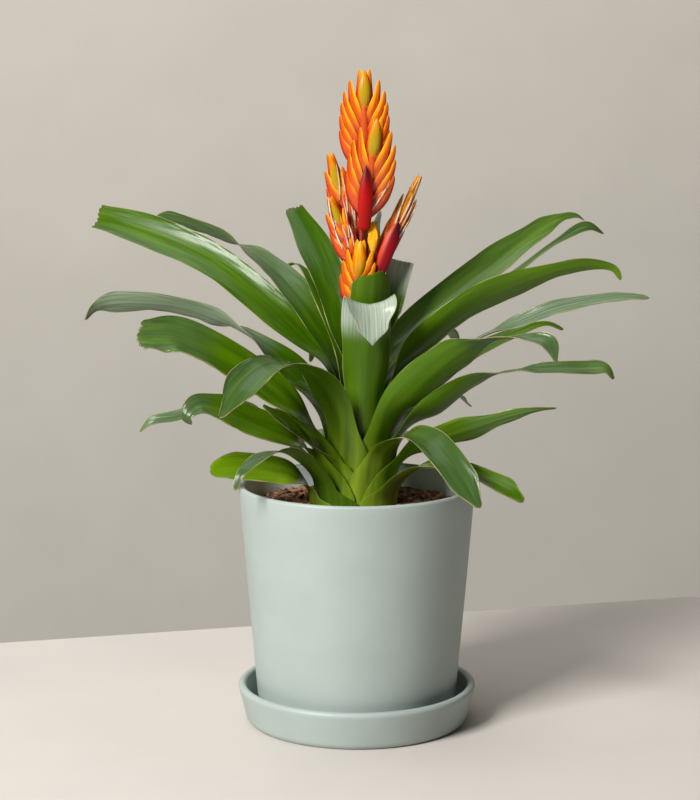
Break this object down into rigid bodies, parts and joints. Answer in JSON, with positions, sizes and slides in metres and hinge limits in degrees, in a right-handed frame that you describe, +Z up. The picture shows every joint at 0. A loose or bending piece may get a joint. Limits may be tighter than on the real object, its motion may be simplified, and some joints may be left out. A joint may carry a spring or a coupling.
{
  "type": "potted bromeliad",
  "caption": "Flowering bromeliad with arching strap leaves and a branched spike of flattened bracts, in a tapered ceramic pot that stands in its own saucer.",
  "frame": {"origin": "centre of the saucer's flat underside, on the surface it stands on", "axes": "+Z up along the pot's axis, +X to the right and -Y towards the viewer of the picture"},
  "size_m": [0.3944, 0.2542, 0.455],
  "materials": {
    "glazed_ceramic": "matte sage glaze with a fine speckle",
    "bark_mix": "loose bark and coir, dry and dull",
    "plant_crown": "woody plant base",
    "leaf": "smooth waxy leaf with a soft gloss",
    "flower_stem": "smooth red-brown stalk",
    "bract": "smooth waxy bract",
    "red_bract": "smooth waxy bract"
  },
  "bodies": {
    "root": {"crown": "plant_crown", "flower_stem": "flower_stem", "leaf_centre_front": "leaf", "leaf_centre_lobe": "leaf", "leaf_centre_point": "leaf", "leaf_centre_rear": "leaf", "leaf_centre_right": "leaf", "leaf_front_left": "leaf", "leaf_front_right": "leaf", "leaf_left_broad": "leaf", "leaf_left_high": "leaf", "leaf_left_long": "leaf", "leaf_left_mid": "leaf", "leaf_left_rear": "leaf", "leaf_left_short": "leaf", "leaf_left_thin": "leaf", "leaf_low_front_left": "leaf", "leaf_low_front_right": "leaf", "leaf_low_left": "leaf", "leaf_low_left_rear": "leaf", "leaf_low_rear_left": "leaf", "leaf_low_rear_right": "leaf", "leaf_rear_high": "leaf", "leaf_rear_left_mid": "leaf", "leaf_rear_left_small": "leaf", "leaf_rear_left_upright": "leaf", "leaf_rear_mid": "leaf", "leaf_rear_right_high": "leaf", "leaf_rear_right_mid": "leaf", "leaf_right_front": "leaf", "leaf_right_high": "leaf", "leaf_right_inner": "leaf", "leaf_right_low": "leaf", "leaf_right_lower": "leaf", "leaf_right_mid": "leaf", "leaf_right_slender": "leaf", "leaf_right_upper": "leaf", "pot": "glazed_ceramic", "primary_bract_front": "red_bract", "primary_bract_right": "red_bract", "saucer": "glazed_ceramic", "soil": "bark_mix", "spike_bud": "bract", "spike_left": "bract", "spike_lower_front": "bract", "spike_lower_left": "bract", "spike_right": "bract", "spike_top": "bract", "spike_upper_front": "bract"}
  },
  "joints": []
}
